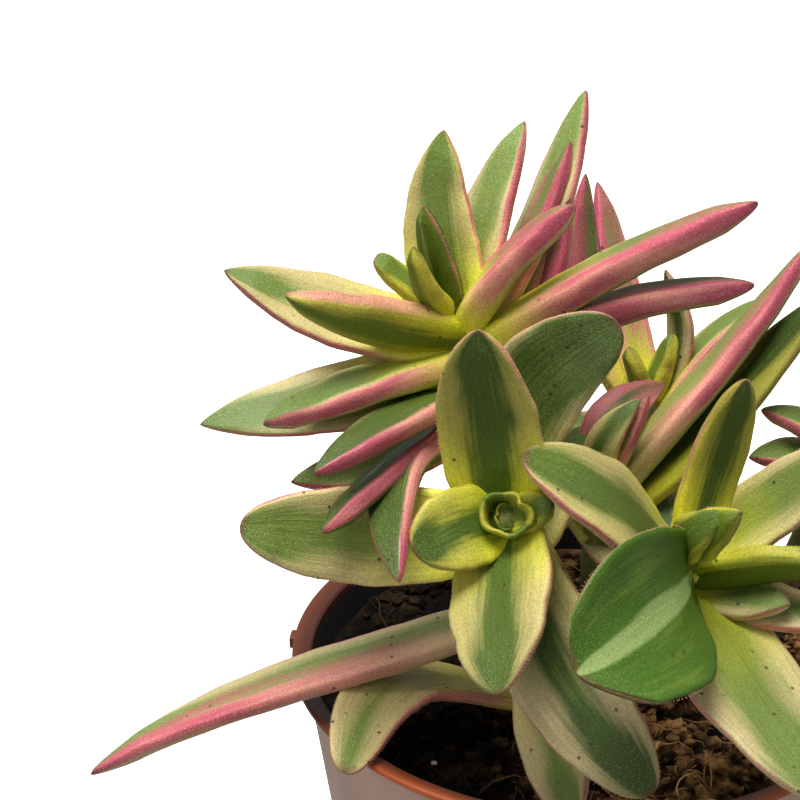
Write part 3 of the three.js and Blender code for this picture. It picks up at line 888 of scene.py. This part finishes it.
# %% Grow stem back
leaves = [
    leaf("d1", 6, 133, 20, 45, 8, "rose", arch=-4, sway=-3, roll=-8, lean=0.2),
    leaf("d3", 6, 110, 32, 43, 8.5, "rose", roll=19, twist=2),
    leaf("d2", 8, 121, 34, 44, 7, "rose", arch=-3, sway=-1.5, roll=7),
    leaf("d4", 5, 48, 8, 27, 5, "deep", arch=-3, sway=3, roll=10),
    leaf("d5", 8, 16, 45, 32, 8.5, "salmon", arch=3, roll=-10),
]
small = [
    leaf("d8", 13, 70, 62, 27, 8, "silver", arch=2),
    leaf("d9", 16, 160, 74, 26, 8, "silver", arch=3),
    leaf("d6", 2, 20, 20, 13, 5, "young"),
    leaf("d7", 2, -160, 20, 12, 5, "young"),
]
grow("stem_back", StemCurve([10, 10], [11, 13, 110], [10, 12, 137]), leaves, small)

# %% [markdown]
# ### The stem in the middle
# It holds the longest rosy leaf, which crosses the picture.

# %% Grow stem middle
leaves = [
    leaf("f1", 6, 38, 47, 56, 8, "streamer", arch=-1, roll=-30, twist=-4, peak=0.65, thick=5, lean=-0.2),
    leaf("f2", 8, 58, 55, 25, 9, "dusky", arch=7, sway=-3, twist=10, light=0.7),
    leaf("f3", 12, 27, 48, 57, 11.5, "gold", arch=-1.5, roll=-6, twist=3, light=0.6),
]
small = [
    leaf("f6", 14, 120, 70, 26, 9, "silver", arch=2),
    leaf("f4", 3, 46, 27, 18, 4, "rose", arch=1),
    leaf("f5", 4, 51, 23, 18, 6, "banded", arch=4, sway=-1.5),
]
grow("stem_middle", StemCurve([4, -2], [-2, -4, 108], [1, -10, 132]), leaves, small)

# %% [markdown]
# ### The stem at the far right
# Mostly outside the photograph, so its hidden leaves follow the plan of the others.

# %% Grow stem far right
leaves = [
    leaf("g1", 8, 181, 59, 19, 7, "salmon", arch=3, roll=-7),
    leaf("g2", 12, -163, 69, 19, 8, "salmon", arch=3.5, roll=-5),
    leaf("g3", 6, -10, 50, 36, 11, "banded"),
    leaf("g4", 12, 60, 65, 40, 11, "sage", arch=3),
    leaf("g5", 14, -60, 72, 38, 12, "banded", arch=4),
]
small = [
    leaf("g6", 2, 80, 18, 14, 7, "young"),
    leaf("g7", 2, -100, 18, 13, 7, "young"),
]
grow("stem_far_right", StemCurve([30, 8], [38, 6, 110], [43, 0, 135]), leaves, small)

# %% [markdown]
# ### The stem at the rear
# Hidden in the photograph. It closes the plant when that is seen from behind.

# %% Grow stem rear
leaves = [
    leaf("h1", 5, 80, 50, 30, 12, "sage"),
    leaf("h2", 9, 165, 62, 26, 11, "banded", arch=3),
    leaf("h3", 9, 10, 55, 30, 12, "sage", arch=2),
    leaf("h4", 15, 95, 88, 36, 12, "sage", arch=5),
]
small = [
    leaf("h7", 15, -80, 86, 24, 10, "deep", arch=4),
    leaf("h5", 2, 100, 18, 14, 7, "young"),
    leaf("h6", 2, -80, 18, 13, 7, "young"),
]
grow("stem_rear", StemCurve([-14, 20], [-18, 26, 105], [-11, 30, 121]), leaves, small)


# %% [markdown]
# ### The rolled heart of the front stem
# The youngest pair of leaves at the front stem's tip is rolled into a small cup with a dark hollow. A
# circle is extruded and drawn in or out, ring by ring: up the outside, over the rounded lip, and down the
# inside. Two such cups, one in the other and turned, give the overlapping rims.

# %% Model the heart
CUP_OUTSIDE = [(1.7, -5), (2.9, -3), (3.6, -0.8), (3.9, 0.8)]
CUP_LIP = [(3.8, 1.6), (3.45, 1.9), (3.05, 1.5)]
CUP_INSIDE = [(2.8, 0.2), (1.9, -4.0)]
CUP_RINGS = CUP_OUTSIDE + CUP_LIP + CUP_INSIDE
CUP_AROUND = 40


def raw_cup():
    """Extrudes the rings, each a radius and a height in mm, and gives the cup and its points."""
    bpy.ops.mesh.primitive_circle_add(vertices=CUP_AROUND, radius=CUP_RINGS[0][0], fill_type="NGON")
    cup = bpy.context.object
    bpy.ops.object.mode_set(mode="EDIT")
    for (wide, low), (next_wide, high) in zip(CUP_RINGS, CUP_RINGS[1:]):
        bpy.ops.mesh.extrude_region_move(TRANSFORM_OT_translate={"value": (0, 0, high - low)})
        bpy.ops.transform.resize(value=(next_wide / wide, next_wide / wide, 1))
    bpy.ops.mesh.select_all(action="SELECT")
    bpy.ops.mesh.subdivide(number_cuts=1, smoothness=0.6)
    bpy.ops.object.mode_set(mode="OBJECT")
    raw = np.array([v.co for v in cup.data.vertices])
    raw[:, 2] += CUP_RINGS[0][1]
    return cup, raw


def make_cup(curve, size, lift, turn):
    """Makes a raw cup oval and folded, more so towards its lip, and sets it on the stem's tip."""
    cup, raw = raw_cup()
    angle = np.arctan2(raw[:, 1], raw[:, 0])
    rising = np.clip(raw[:, 2] / 6 + 0.8, 0, 1)
    oval = 1 + (0.12 * np.cos(2 * angle + turn) + 0.05 * np.cos(5 * angle + turn)) * rising
    fold = np.exp(-(((angle - turn + math.pi) % (2 * math.pi) - math.pi) / 0.22) ** 2)
    reach = np.hypot(raw[:, 0], raw[:, 1]) * oval * (1 - 0.22 * fold * rising)
    tall = raw[:, 2] + rising * (0.9 * np.cos(angle - turn) + 0.5 * fold)
    point, axis = curve.below_tip(0)
    ref, side = square_to(axis)
    outwards = ref * (reach * np.cos(angle))[:, None] + side * (reach * np.sin(angle))[:, None]
    points = point + size * (outwards + axis * tall[:, None]) + axis * lift
    laid_out(cup, points, leaf_skin)
    spot = np.stack([np.cos(angle - turn), 0.25 + 0.4 * rising, np.full(len(angle), 0.8)], -1)
    dress_mesh(cup.data, spot, DRESSES["young"], 0.9 + turn)
    return cup


front_curve = StemCurve([-4, -8], [-16, -18, 124], [-17, -42, 142])
cups = [make_cup(front_curve, 1.0, 1.2, 0.6), make_cup(front_curve, 0.52, -0.9, 2.9)]
print("points in each cup:", len(cups[0].data.vertices))

# %% [markdown]
# ### The stem at the front
# A rosette seen from above, with the rolled cups at its heart and a long leaf that reaches over the rim.

# %% Grow stem front
leaves = [
    leaf("b1", 5, 98, 41, 36, 16.5, "olive", arch=-2, sway=-1, roll=-16, tip=0.7, wide=0.35, light=0.95),
    leaf("b3", 6, -92, 65, 32, 17.5, "banded", roll=29, tip=0.7, light=0.8),
    leaf("b2", 4, -156, 64, 17, 13, "gold", arch=0.5, sway=1, roll=-8, tip=0.5),
    leaf("b6", 11, -177, 70, 43, 16, "tan", arch=-5, sway=-2, roll=-28, tip=0.5, light=1.25),
    leaf("b8", 10, 53, 50, 40, 16.5, "wet", arch=-0.5, sway=-6.9, roll=7, twist=5, tip=0.45, wide=0.4),
    leaf("b7", 12, -63, 91, 47, 17, "deep", arch=4, sway=2, roll=23, twist=-6, tip=0.5, light=0.88),
    leaf(
        "b11", 40, -168, 97, 82, 11.5, "arm",
        arch=3.5, sway=-0.5, roll=22, twist=5, peak=0.65, thick=4.8, lean=0.25, light=1.05,
    ),
    leaf(
        "b12", 68, -138, 60, 50, 13, "curled",
        arch=8.5, sway=8, roll=12, twist=-24, peak=0.6, tip=0.45, wide=0.6, light=1.1, lean=0.2,
    ),
    leaf("b10", 44, -81, 83, 42, 12, "cream", arch=-6, sway=4, roll=18, tip=0.6),
]
small = [
    leaf("b13", 17, 92, 92, 32, 12, "deep", arch=3),
    leaf("b14", 26, 65, 98, 30, 12, "deep", arch=4),
    leaf("b5", 3, 10, 50, 9.5, 6.5, "young", tip=0.6),
]
grow("stem_front", front_curve, leaves, small, cups)

# %% Put the blank away
bpy.data.objects.remove(blank)
print("leaves grown:", len(grown))

# %% [markdown]
# ## Pot
# A thin nursery pot is moulded in one piece: a tapered wall, a lip that stands out and turns up, and a flat
# foot with drain holes. Its section is drawn as a row of points and spun round, the seam and the poles are
# merged, and the holes are cut with a boolean. The plastic is a pale brown on the wall, partly its own
# colour and partly a painted reflection of the white surroundings, and terracotta on the lip. The lip is
# painted darker on the inner part of its top and towards the back, and the inside nearly black, as painted
# shade.

# %% Sizes of the pot in millimetres
POT_HEIGHT = 92
RIM_RADIUS = 52.5
FOOT_RADIUS = 36
WALL = 1.4
LIP_WIDTH = 3.4
LIP_STEP = 2.5
LIP_HEIGHT = 3
POT_STEPS = 144
DRAIN_HOLES = 8
DRAIN_RADIUS = 3.5
DRAIN_CIRCLE = 28
NUB_SIZE = (1.6, 3.0, 2.4)
NUB_TURN = 174
print("the pot is", POT_HEIGHT, "mm high and", 2 * RIM_RADIUS, "mm across")

# %% Draw the section and spin it
UNDER = POT_HEIGHT - LIP_HEIGHT
WALL_TOP = RIM_RADIUS - LIP_STEP
LIP_INNER = RIM_RADIUS - LIP_WIDTH
INNER_TOP = WALL_TOP - WALL
INNER_FOOT = FOOT_RADIUS - WALL
FOOT_POINTS = [
    (0, 0.8), (20, 0.8), (22, 0), (FOOT_RADIUS - 1.6, 0), (FOOT_RADIUS - 0.5, 0.4), (FOOT_RADIUS + 0.1, 1.6)
]
WALL_POINTS = [(FOOT_RADIUS + 7.2, 45), (WALL_TOP - 0.2, UNDER - 1), (WALL_TOP + 0.3, UNDER + 0.1)]
LIP_POINTS = [
    (RIM_RADIUS - 0.5, POT_HEIGHT - 1.4), (RIM_RADIUS - 0.05, POT_HEIGHT - 0.9),
    (RIM_RADIUS - 0.1, POT_HEIGHT - 0.3), (RIM_RADIUS - 0.5, POT_HEIGHT),
    (RIM_RADIUS - 1.2, POT_HEIGHT - 0.1), (RIM_RADIUS - 2.2, POT_HEIGHT - 0.35),
    (LIP_INNER + 0.3, POT_HEIGHT - 0.5), (LIP_INNER - 0.1, POT_HEIGHT - 0.9),
]
INNER_POINTS = [
    (INNER_TOP - 0.1, UNDER - 0.6), (INNER_TOP - 0.7, UNDER - 3),
    (INNER_FOOT + 0.5, 3.4), (INNER_FOOT - 1.2, 2), (0, 2),
]
SECTION = FOOT_POINTS + WALL_POINTS + LIP_POINTS + INNER_POINTS

mesh = bpy.data.meshes.new("pot_shell")
edges = [(i, i + 1) for i in range(len(SECTION) - 1)]
mesh.from_pydata([(r * MM, 0, z * MM) for r, z in SECTION], edges, [])
pot = bpy.data.objects.new("pot_shell", mesh)
bpy.context.collection.objects.link(pot)
choose(pot)
bpy.ops.object.mode_set(mode="EDIT")
bpy.ops.mesh.select_all(action="SELECT")
bpy.ops.mesh.spin(steps=POT_STEPS, angle=2 * math.pi, center=(0, 0, 0), axis=(0, 0, 1))
close_mesh(merge=True)
print("pot faces:", len(pot.data.polygons))

# %% Cut the drain holes
drills = []
for hole in range(DRAIN_HOLES):
    angle = 2 * math.pi * hole / DRAIN_HOLES
    spot_at = (DRAIN_CIRCLE * MM * math.cos(angle), DRAIN_CIRCLE * MM * math.sin(angle), 0)
    bpy.ops.mesh.primitive_cylinder_add(vertices=24, radius=DRAIN_RADIUS * MM, depth=0.02, location=spot_at)
    drills.append(bpy.context.object)
drill = joined("drill", drills)
choose(pot)
cut = pot.modifiers.new("drain", "BOOLEAN")
cut.operation = "DIFFERENCE"
cut.object = drill
bpy.ops.object.modifier_apply(modifier="drain")
bpy.data.objects.remove(drill)
print("drain holes:", DRAIN_HOLES)

# %% Add the moulding nub to the lip
turn = math.radians(NUB_TURN)
nub_at = (RIM_RADIUS * MM * math.cos(turn), RIM_RADIUS * MM * math.sin(turn), (POT_HEIGHT - 1.5) * MM)
bpy.ops.mesh.primitive_cube_add(size=1, location=nub_at, rotation=(0, 0, turn))
nub = bpy.context.object
nub.scale = [side * MM for side in NUB_SIZE]
bpy.ops.object.transform_apply(location=True, rotation=True, scale=True)
soften = nub.modifiers.new("soften", "BEVEL")
soften.width = 0.4 * MM
soften.segments = 3
bpy.ops.object.modifier_apply(modifier="soften")
pot = joined("pot_shell", [pot, nub])
pot.data.shade_smooth()
bpy.ops.object.shade_smooth_by_angle(angle=math.radians(32))

# %% A helper for layers of colour
def overlaid(tree, colour, mask, strength, second):
    """The colour, with a second one laid over it at this strength where the mask is 1."""
    return mixed(tree, calc(tree, "MULTIPLY", mask, strength), colour, second)


# %% The pot's plastic
WALL_SLOPE = round((WALL_TOP - FOOT_RADIUS) / UNDER, 3)

pot_plastic, tree, coat = new_material("pot_plastic", Specular_IOR_Level=0.3)
plastic = add(tree, "Group", {"Size mm": 0.5, "Detail": 3.0}, node_tree=grain).outputs
x, y, z = parts_of(tree, plastic["Place"])
radius = calc(tree, "SQRT", calc(tree, "ADD", calc(tree, "POWER", x, 2.0), calc(tree, "POWER", y, 2.0)))
smear = add(tree, "TexNoise", {"Vector": plastic["Place"], "Scale": 45.0, "Detail": 4.0}).outputs[0]
# The wall's pale greyish brown is partly the plastic's own colour and partly a painted reflection of the
# white surroundings.
colour = mixed(tree, fade(tree, smear, 0.35, 0.65), shade(190, 154, 136), shade(206, 170, 150))
on_lip = fade_mm(tree, z, POT_HEIGHT - 3.2, POT_HEIGHT - 1.8)
colour = mixed(tree, on_lip, colour, mixed(tree, smear, shade(186, 94, 50), shade(164, 82, 44)))
# The inner part of the lip's top is painted darker brown, as painted shade.
on_top = calc(tree, "MULTIPLY", on_lip, fade_mm(tree, radius, RIM_RADIUS - 0.3, RIM_RADIUS - 2.7))
colour = overlaid(tree, colour, on_top, 0.75, shade(84, 44, 32))
# The lip is painted darker towards the back and the left, as painted shade.
lip_painted_shade = calc(tree, "MULTIPLY", on_lip, fade_mm(tree, y, -36, -20))
colour = overlaid(tree, colour, lip_painted_shade, 0.8, shade(62, 34, 26))
off_wall = calc(tree, "SUBTRACT", radius, calc(tree, "MULTIPLY", z, WALL_SLOPE))
# The inside of the pot is painted nearly black, as painted shade.
inside = fade_mm(tree, off_wall, INNER_FOOT + 0.6, INNER_FOOT)
inside = calc(tree, "MULTIPLY", inside, fade_mm(tree, z, POT_HEIGHT - 0.5, POT_HEIGHT - 2.5))
put(tree, coat.inputs["Base Color"], mixed(tree, inside, colour, shade(6, 4, 3)))
rough = calc(tree, "ADD", calc(tree, "MULTIPLY", smear, 0.25), 0.25)
put(tree, coat.inputs["Roughness"], calc(tree, "MAXIMUM", rough, inside))
relief(tree, coat, plastic["Height"], 0.12, 0.2 * MM)
pot.data.materials.clear()
pot.data.materials.append(pot_plastic)
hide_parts("pot")
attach(pot, "root")
print("pot faces with its holes and nub:", len(pot.data.polygons))

# %% [markdown]
# ## Soil
# The potting mix is dark peat and coir. Its body is a drum with a finely inset top, whose points noise
# raises into lumps and crumbs. Loose crumbs and a few white grains lie on it, made from one small ball of a
# few faces that is squashed and turned at random, and so do thin curled fibres. The left side is painted
# almost black and the hollows darker, as painted shade.

# %% The soil's body
SOIL_RADIUS = 47.6
SOIL_FOOT = 34
SOIL_BOTTOM = 2.4
SOIL_RINGS = 62
SOIL_AROUND = 200

bottom = (0, 0, SOIL_BOTTOM * MM)
bpy.ops.mesh.primitive_circle_add(
    vertices=SOIL_AROUND, radius=SOIL_FOOT * MM, fill_type="NGON", location=bottom
)
soil = bpy.context.object
soil.name = "soil_mix"
bpy.ops.object.mode_set(mode="EDIT")
bpy.ops.mesh.extrude_region_move(TRANSFORM_OT_translate={"value": (0, 0, (SOIL_LEVEL - SOIL_BOTTOM) * MM)})
bpy.ops.transform.resize(value=(SOIL_RADIUS / SOIL_FOOT, SOIL_RADIUS / SOIL_FOOT, 1))
for ring in range(SOIL_RINGS):
    bpy.ops.mesh.inset(thickness=SOIL_RADIUS * MM / (SOIL_RINGS + 1.2))
close_mesh(merge=False)
bpy.ops.object.transform_apply(location=True, rotation=True, scale=True)


def soil_height(x, y):
    """Height in mm of the lumpy top at a place in mm."""
    here = Vector((x, y, 0))
    lumps = noise.noise(here / 11) * 1.5 + noise.noise(here / 4.5 + Vector((7, 3, 1))) * 1.1
    crumbs = abs(noise.noise(here / 1.6 + Vector((2, 9, 4)))) * 1.3 + noise.noise(here / 0.8) * 0.35
    return SOIL_LEVEL - 0.3 + lumps + crumbs


moved = 0
for v in soil.data.vertices:
    on_top = v.co.z > (SOIL_LEVEL - 1) * MM
    if on_top and math.hypot(v.co.x, v.co.y) < (SOIL_RADIUS - 0.3) * MM:
        v.co.z = soil_height(v.co.x / MM, v.co.y / MM) * MM
        moved += 1
soil.data.shade_smooth()
print("soil points moved:", moved)

# %% The soil's material
soil_earth, tree, coat = new_material("soil_earth", Roughness=0.95, Specular_IOR_Level=0.1)
dust = add(tree, "Group", {"Size mm": 1.1, "Detail": 6.0}, node_tree=grain).outputs
x, y, z = parts_of(tree, dust["Place"])
patch = add(tree, "TexNoise", {"Vector": dust["Place"], "Scale": 260.0, "Detail": 3.0}).outputs[0]
earth = mixed(tree, fade(tree, patch, 0.4, 0.62), shade(22, 14, 9), shade(196, 146, 92))
earth = overlaid(tree, earth, dust["Value"], 0.3, shade(84, 58, 38))
earth = mixed(tree, carried_by(tree, "tone")["Fac"], earth, shade(236, 184, 122))
# The hollows of the soil's top are painted darker, as painted shade.
hollow_painted_shade = fade_mm(tree, z, SOIL_LEVEL + 1.2, SOIL_LEVEL - 0.7)
earth = overlaid(tree, earth, hollow_painted_shade, 0.9, shade(14, 9, 6))
# The soil is painted almost black towards the left, as painted shade.
left_painted_shade = fade_mm(tree, x, 6, -22)
earth = overlaid(tree, earth, left_painted_shade, 0.96, shade(5, 4, 3))
put(tree, coat.inputs["Base Color"], earth)
relief(tree, coat, dust["Height"], 0.9, 0.8 * MM)
soil.data.materials.clear()
soil.data.materials.append(soil_earth)
carry(soil.data, "tone", np.zeros(len(soil.data.vertices)))

# %% Scatter crumbs
CRUMBS = 1500
CRUMB_SIZES = (0.4, 2.2)

bpy.ops.mesh.primitive_ico_sphere_add(subdivisions=1, radius=1)
seed_crumb = bpy.context.object
crumb_points = np.array([v.co for v in seed_crumb.data.vertices])
crumb_faces = np.array([list(p.vertices) for p in seed_crumb.data.polygons])
bpy.data.objects.remove(seed_crumb)


def on_soil(count, spread):
    """Even random places on the soil's top, in mm."""
    reach = spread * np.sqrt(rng.random(count))
    turn = rng.random(count) * 2 * math.pi
    x, y = reach * np.cos(turn), reach * np.sin(turn)
    z = [soil_height(a, b) for a, b in zip(x, y)]
    return np.stack([x, y, z], -1)


def scattered(name, places, low, high, tones):
    points, faces, tone = [], [], []
    for i, spot_at in enumerate(places):
        size = low + (high - low) * rng.random() ** 2.5
        jag = 1 + rng.normal(0, 0.28, crumb_points.shape)
        stretch = np.array([1, rng.uniform(0.35, 0.9), rng.uniform(0.3, 0.8)])
        body = crumb_points * jag * stretch * size
        around = rng.random() * 2 * math.pi
        c, s = math.cos(around), math.sin(around)
        body = body @ np.array([[c, s, 0], [-s, c, 0], [0, 0, 1]])
        faces.append(crumb_faces + len(crumb_points) * i)
        points.append(body + spot_at + np.array([0, 0, size * 0.25]))
        tone.append(np.full(len(crumb_points), tones[0] + (tones[1] - tones[0]) * rng.random() ** 2))
    piece = mesh_piece(name, np.concatenate(points), np.concatenate(faces), soil_earth)
    carry(piece.data, "tone", np.concatenate(tone))
    piece.data.shade_flat()
    return piece


crumbs = scattered("crumbs", on_soil(CRUMBS, SOIL_RADIUS - 2), *CRUMB_SIZES, (0.0, 0.36))
print("crumb faces:", len(crumbs.data.polygons))

# %% Curl the fibres
FIBRES = 520
STRAWS = 40
FIBRE_STEPS = 7
FIBRE_SIDES = 4

paths = []
for number, start in enumerate(on_soil(FIBRES, SOIL_RADIUS - 5)):
    straw = number < STRAWS
    heading, curl = rng.random() * 2 * math.pi, rng.normal(0, 0.08 if straw else 0.35)
    step = rng.uniform(0.5, 1.6) * (1.6 if straw else 1)
    radius = rng.uniform(0.07, 0.2) + (0.08 if straw else 0)
    lift = rng.uniform(0.1, 4.0 if straw else 1.4)
    path, here = [], start[:2].copy()
    for i in range(FIBRE_STEPS):
        height = soil_height(*here) + lift * math.sin(math.pi * i / (FIBRE_STEPS - 1)) + radius * 0.5
        path.append([*here, height])
        heading += curl + rng.normal(0, 0.25)
        here = here + step * np.array([math.cos(heading), math.sin(heading)])
        here *= min(1, (SOIL_RADIUS - 1.5) / max(np.hypot(*here), 1))
    paths.append((np.array(path), radius))

points, faces, tone = [], [], []
for i, (path, radius) in enumerate(paths):
    ahead = unit(np.gradient(path, axis=0))
    side = unit(np.cross(ahead, [0, 0, 1.0]))
    up = np.cross(side, ahead)
    taper = radius * np.linspace(1, 0.5, FIBRE_STEPS)[:, None]
    for k in range(FIBRE_SIDES):
        angle = 2 * math.pi * k / FIBRE_SIDES
        points.append(path + taper * (side * math.cos(angle) + up * math.sin(angle)))
    first = i * FIBRE_STEPS * FIBRE_SIDES
    for k in range(FIBRE_SIDES):
        a, b = first + k * FIBRE_STEPS, first + (k + 1) % FIBRE_SIDES * FIBRE_STEPS
        faces += [[a + j, a + j + 1, b + j + 1, b + j] for j in range(FIBRE_STEPS - 1)]
    faces.append([first + k * FIBRE_STEPS for k in range(FIBRE_SIDES)])
    faces.append([first + k * FIBRE_STEPS + FIBRE_STEPS - 1 for k in reversed(range(FIBRE_SIDES))])
    tone.append(np.full(FIBRE_STEPS * FIBRE_SIDES, 1.0 if i < STRAWS else rng.uniform(0.15, 0.8)))
fibres = mesh_piece("fibres", np.concatenate(points), faces, soil_earth)
carry(fibres.data, "tone", np.concatenate(tone))
choose(fibres)
bpy.ops.object.mode_set(mode="EDIT")
close_mesh(merge=False)
soil = joined("soil_mix", [soil, crumbs, fibres])
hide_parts("soil")
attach(soil, "root")
print("soil faces:", len(soil.data.polygons))

# %% White grains
WHITE_GRAINS = 12

perlite, tree, coat = new_material("perlite", Base_Color=shade(206, 202, 192), Roughness=0.9)
white_grains = scattered("perlite_grains", on_soil(WHITE_GRAINS, SOIL_RADIUS - 4), 0.3, 0.9, (0, 0))
white_grains.data.materials.clear()
white_grains.data.materials.append(perlite)
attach(white_grains, "root")

# %% [markdown]
# ## Size
# The dressed plant has to stay inside the box of the measured one, so both boxes are printed.

# %% Print the sizes
dressed_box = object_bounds()
sizes = {"cad": [list(corner) for corner in cad_box], "visual": [list(corner) for corner in dressed_box]}
for label, (low, high) in sizes.items():
    print(label, [round(v / MM, 1) for v in low], [round(v / MM, 1) for v in high])
